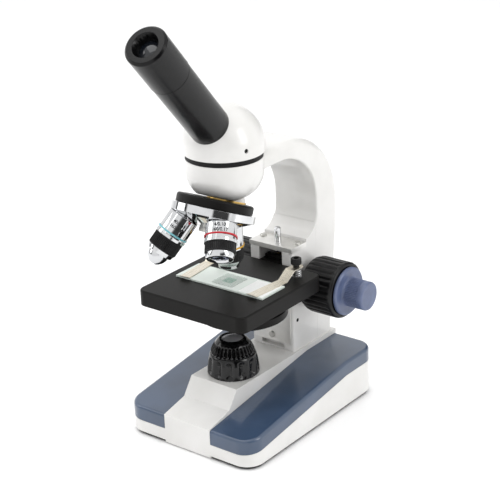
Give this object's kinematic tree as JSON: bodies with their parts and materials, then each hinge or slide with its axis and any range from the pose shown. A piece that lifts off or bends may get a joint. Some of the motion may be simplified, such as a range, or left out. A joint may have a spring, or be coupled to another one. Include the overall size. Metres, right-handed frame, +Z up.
{
  "type": "microscope",
  "caption": "Upright monocular microscope with a swivelling inclined eyepiece tube, revolving nosepiece, coarse and fine focus knobs, square stage with spring clips and a built-in lamp.",
  "frame": {"origin": "on the table, at the middle of the microscope's outline; the optical axis stands 5.5 mm in front of it (y = -0.0055 m)", "axes": "+X the user's right, +Y away from the user, +Z up"},
  "size_m": [0.14, 0.1985, 0.3002],
  "materials": {
    "white_enamel": "gloss white enamel",
    "slate_enamel": "gloss slate enamel",
    "black_enamel": "dry black paint",
    "black_paint_gloss": "gloss",
    "black_plastic": "satin",
    "black_plastic_matte": "matte",
    "blue_plastic": "satin",
    "chrome": "polished",
    "steel": "brushed",
    "spring_steel": "satin",
    "brass": "satin",
    "rubber": "matte",
    "glass": "polished",
    "circuit_board": "matte"
  },
  "bodies": {
    "stand": {"base_casting": "white_enamel", "wing_left": "slate_enamel", "wing_right": "slate_enamel", "base_plate": "black_plastic_matte", "rubber_feet": "rubber", "base_screws": "steel", "power_inlet": "black_plastic_matte", "lamp_housing": "black_plastic", "lamp_lens": "glass", "lamp_board": "circuit_board", "arm_casting": "white_enamel", "focus_block": "white_enamel", "cap_plate": "steel", "block_screws": "steel", "block_cover": "steel", "shaft_bushes": "brass", "head_ring": "black_enamel", "neck_collar": "brass", "nosepiece_plate": "black_enamel", "turret_screw": "chrome"},
    "rocker": {"switch_rocker": "black_plastic"},
    "stop": {"stage_stop_screw": "chrome"},
    "head": {"head_dome": "white_enamel", "head_set_screw": "steel", "prism": "glass", "eyepiece_tube": "black_paint_gloss"},
    "eyepiece": {"eyepiece_barrel": "black_plastic", "eye_lens": "glass", "field_lens": "glass"},
    "nosepiece": {"turret": "chrome", "objective_4x_barrel": "chrome", "objective_4x_grip": "black_enamel", "objective_4x_lens": "glass", "objective_10x_barrel": "chrome", "objective_10x_grip": "black_enamel", "objective_10x_lens": "glass", "objective_40x_barrel": "chrome", "objective_40x_grip": "black_enamel"},
    "tip_40x": {"objective_40x_tip": "chrome", "objective_40x_lens": "glass"},
    "coarse_drive": {"pinion_sleeve": "steel", "coarse_knob_left": "black_plastic", "coarse_knob_right": "black_plastic"},
    "fine_drive": {"fine_shaft": "steel", "fine_knob_left": "blue_plastic", "fine_knob_right": "blue_plastic"},
    "carriage": {"coarse_slide": "black_enamel", "rack": "brass"},
    "stage": {"stage_carrier": "black_enamel", "stage_plate": "black_enamel", "stage_screws": "steel", "clip_posts": "chrome", "clip_springs": "steel", "diaphragm_screw": "steel"},
    "clip_arm_left": {"clip_left": "spring_steel", "clip_nut_left": "black_plastic"},
    "clip_arm_right": {"clip_right": "spring_steel", "clip_nut_right": "black_plastic"},
    "diaphragm": {"disc_diaphragm": "black_enamel"},
    "specimen": {"glass_slide": "glass"}
  },
  "joints": [
    {"name": "head_turn", "type": "hinge", "parent": "stand", "child": "head", "pos_m": [0, -0.0055, 0.2], "axis": [0, 0, 1], "continuous": true},
    {"name": "eyepiece_pull", "type": "slide", "parent": "head", "child": "eyepiece", "axis": [0.1106, -0.6984, 0.7071], "range_m": [0, 0.024]},
    {"name": "nosepiece_turn", "type": "hinge", "parent": "stand", "child": "nosepiece", "pos_m": [0, -0.01863, 0.16457], "axis": [0, 0.3907, 0.9205], "continuous": true},
    {"name": "tip_40x_slide", "type": "slide", "parent": "nosepiece", "child": "tip_40x", "axis": [0.3384, 0.5395, 0.771], "range_m": [0, 0.0018], "stiffness_N_per_m": 800, "springref_m": -0.001},
    {"name": "coarse_turn", "type": "hinge", "parent": "stand", "child": "coarse_drive", "pos_m": [0, 0.0607, 0.0885], "axis": [-1, 0, 0], "range_deg": [-85.94, 21]},
    {"name": "carriage_slide", "type": "slide", "parent": "stand", "child": "carriage", "axis": [0, 0, 1], "range_m": [-0.009, 0.0022]},
    {"name": "fine_turn", "type": "hinge", "parent": "stand", "child": "fine_drive", "pos_m": [0, 0.0607, 0.0885], "axis": [-1, 0, 0], "range_deg": [-360, 360]},
    {"name": "stage_fine", "type": "slide", "parent": "carriage", "child": "stage", "axis": [0, 0, 1], "range_m": [-0.001, 0.001]},
    {"name": "rocker_tilt", "type": "hinge", "parent": "stand", "child": "rocker", "pos_m": [0.0085, 0.0879, 0.0175], "axis": [1, 0, 0], "range_deg": [-7, 7]},
    {"name": "stop_turn", "type": "hinge", "parent": "stand", "child": "stop", "pos_m": [0, 0.05, 0.12], "axis": [0, 0, 1], "range_deg": [-180, 180]},
    {"name": "diaphragm_turn", "type": "hinge", "parent": "stage", "child": "diaphragm", "pos_m": [0, 0.008, 0.081], "axis": [0, 0, 1], "continuous": true},
    {"name": "clip_left_swing", "type": "hinge", "parent": "stage", "child": "clip_arm_left", "pos_m": [-0.0333, 0.0262, 0.111], "axis": [0, 0, 1], "range_deg": [-60, 10]},
    {"name": "clip_right_swing", "type": "hinge", "parent": "stage", "child": "clip_arm_right", "pos_m": [0.0333, 0.0262, 0.111], "axis": [0, 0, 1], "range_deg": [-10, 60]},
    {"name": "specimen_slide", "type": "slide", "parent": "stage", "child": "specimen", "axis": [1, 0, 0], "range_m": [-0.012, 0.012]}
  ],
  "couplings": [
    {"joint": "carriage_slide", "follows": "coarse_turn", "m_per_rad": 0.006},
    {"joint": "stage_fine", "follows": "fine_turn", "m_per_rad": 0.00015915}
  ]
}
